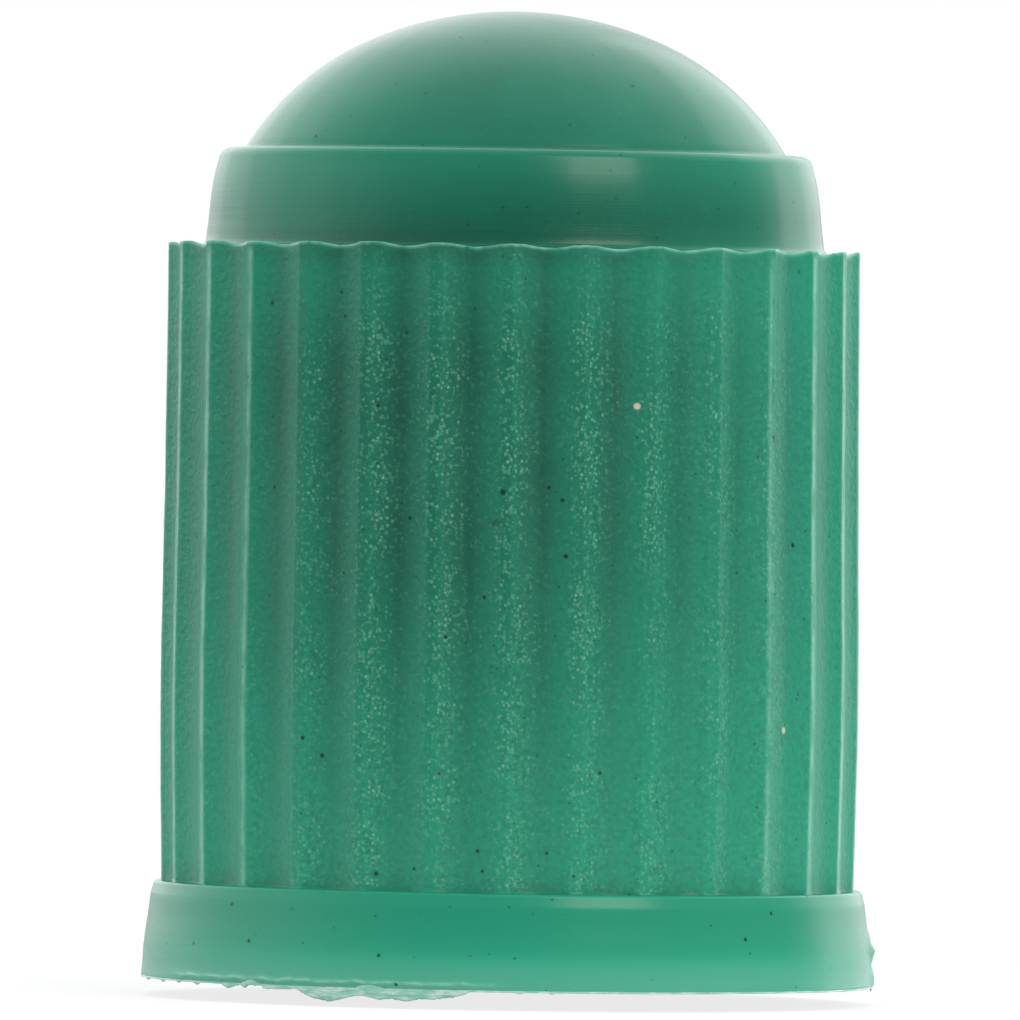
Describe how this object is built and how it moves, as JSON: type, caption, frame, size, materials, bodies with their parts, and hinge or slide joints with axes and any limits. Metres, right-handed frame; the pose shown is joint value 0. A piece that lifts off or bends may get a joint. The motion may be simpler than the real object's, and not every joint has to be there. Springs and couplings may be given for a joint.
{
  "type": "tyre valve cap",
  "caption": "Screw-on plastic dust cap for a tyre valve stem: ribbed grip, smooth stepped shoulder, domed top, flared foot ring and a blind threaded socket with a moulded-in sealing lip.",
  "frame": {"origin": "centre of the mouth's rim plane, on the thread axis", "axes": "+Z along the thread axis from the mouth to the dome; the picture's camera looks along +Y, with +X to its right"},
  "size_m": [0.01, 0.01, 0.0132],
  "materials": {
    "cap_plastic": "satin moulded polyethylene, spark-eroded texture on the ribs"
  },
  "bodies": {
    "root": {"cap": "cap_plastic"}
  },
  "joints": []
}
